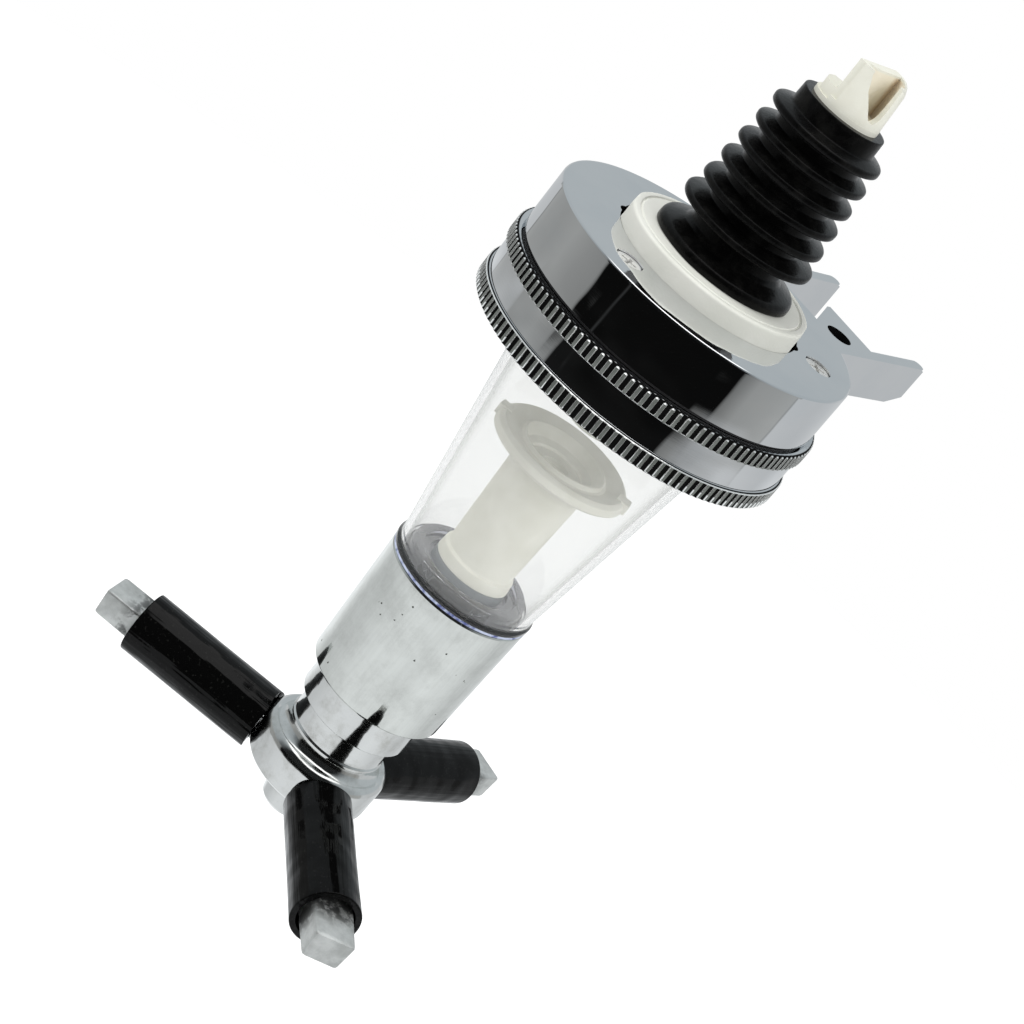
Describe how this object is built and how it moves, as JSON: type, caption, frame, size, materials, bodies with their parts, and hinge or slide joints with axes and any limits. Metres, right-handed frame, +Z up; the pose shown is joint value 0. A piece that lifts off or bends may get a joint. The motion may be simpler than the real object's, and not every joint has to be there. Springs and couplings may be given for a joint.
{
  "type": "liquor optic dispenser",
  "caption": "Bar optic that measures spirit from an inverted bottle: ribbed stopper, chromed head with bracket fork, clear chamber and a sprung valve worked by sleeved push arms.",
  "frame": {"origin": "on the dispenser's axis, in the plane of the chrome head's top face, where the bottle's neck comes down over the stopper", "axes": "+Z up the axis towards the bottle; +Y out along the bracket fork; +X to the side of the fork that carries the screw hole"},
  "size_m": [0.0916, 0.09, 0.1802],
  "materials": {
    "head_cap": "mirror chrome plate",
    "head_screws": "bright steel",
    "seat_ring": "satin off-white",
    "bottle_stopper": "matte black",
    "inlet_spout": "satin off-white",
    "inlet_seat": "satin off-white",
    "head_gasket": "dark grey",
    "carrier_ring": "cast zinc",
    "lock_nut": "mirror chrome plate, knurled",
    "chamber_gasket": "dark grey",
    "measuring_chamber": "clear polycarbonate",
    "joint_seal": "blue grey",
    "chamber_plug": "clear grey plastic",
    "valve_body": "satin plated zinc",
    "spring_washer": "stainless steel",
    "return_spring": "stainless wire",
    "displacer": "warm grey-white",
    "inlet_seal": "white silicone",
    "outlet_seal": "dark grey",
    "stem": "stainless steel",
    "retaining_clip": "spring steel",
    "spring_cup": "stainless steel",
    "outlet_nozzle": "chrome plate",
    "arm_hub": "satin plated zinc",
    "sleeve": "glossy black"
  },
  "bodies": {
    "base": {"head_cap": "head_cap", "head_screws": "head_screws", "seat_ring": "seat_ring", "bottle_stopper": "bottle_stopper", "inlet_spout": "inlet_spout", "inlet_seat": "inlet_seat", "head_gasket": "head_gasket", "carrier_ring": "carrier_ring", "lock_nut": "lock_nut", "chamber_gasket": "chamber_gasket", "measuring_chamber": "measuring_chamber", "joint_seal": "joint_seal", "chamber_plug": "chamber_plug", "valve_body": "valve_body", "spring_washer": "spring_washer", "return_spring": "return_spring"},
    "plunger": {"displacer": "displacer", "inlet_seal": "inlet_seal", "outlet_seal": "outlet_seal", "stem": "stem", "retaining_clip": "retaining_clip", "spring_cup": "spring_cup", "outlet_nozzle": "outlet_nozzle"},
    "hub": {"arm_hub": "arm_hub", "sleeve_rear": "sleeve", "sleeve_left": "sleeve", "sleeve_right": "sleeve"}
  },
  "joints": [
    {"name": "plunger_slide", "type": "slide", "parent": "base", "child": "plunger", "axis": [0, 0, 1], "range_m": [0, 0.01], "stiffness_N_per_m": 450, "springref_m": -0.009, "deforming": ["return_spring"]},
    {"name": "hub_spin", "type": "hinge", "parent": "plunger", "child": "hub", "pos_m": [0, 0, -0.115], "axis": [0, 0, 1], "continuous": true}
  ]
}
